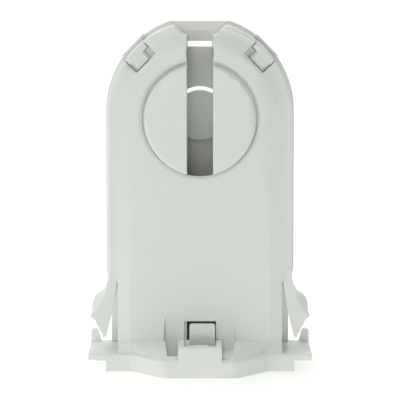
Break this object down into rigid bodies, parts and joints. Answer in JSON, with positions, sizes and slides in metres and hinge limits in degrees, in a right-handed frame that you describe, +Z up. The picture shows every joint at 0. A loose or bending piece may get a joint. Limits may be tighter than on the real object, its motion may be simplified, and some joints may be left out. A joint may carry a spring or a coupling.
{
  "type": "fluorescent lamp holder",
  "caption": "Upright bi-pin fluorescent lamp holder with an arched body, a slotted turn-lock rotor, snap-in side arms and push-in wire entries.",
  "frame": {"origin": "middle of the underside of the base", "axes": "+Z up, +Y from the lamp's side to the cover's side, +X to the right seen from the lamp's side"},
  "size_m": [0.0346, 0.021, 0.0537],
  "materials": {
    "housing": "moulded, soft sheen",
    "cover": "moulded, soft sheen",
    "rotor": "moulded, soft sheen",
    "contact": "rolled strip"
  },
  "bodies": {
    "holder": {"front_housing": "housing", "back_cover": "cover", "contact_left": "contact", "contact_right": "contact"},
    "turning_rotor": {"rotor": "rotor"}
  },
  "joints": [
    {"name": "rotor_turn", "type": "hinge", "parent": "holder", "child": "turning_rotor", "pos_m": [0, 0, 0.03883], "axis": [0, 1, 0], "continuous": true}
  ]
}
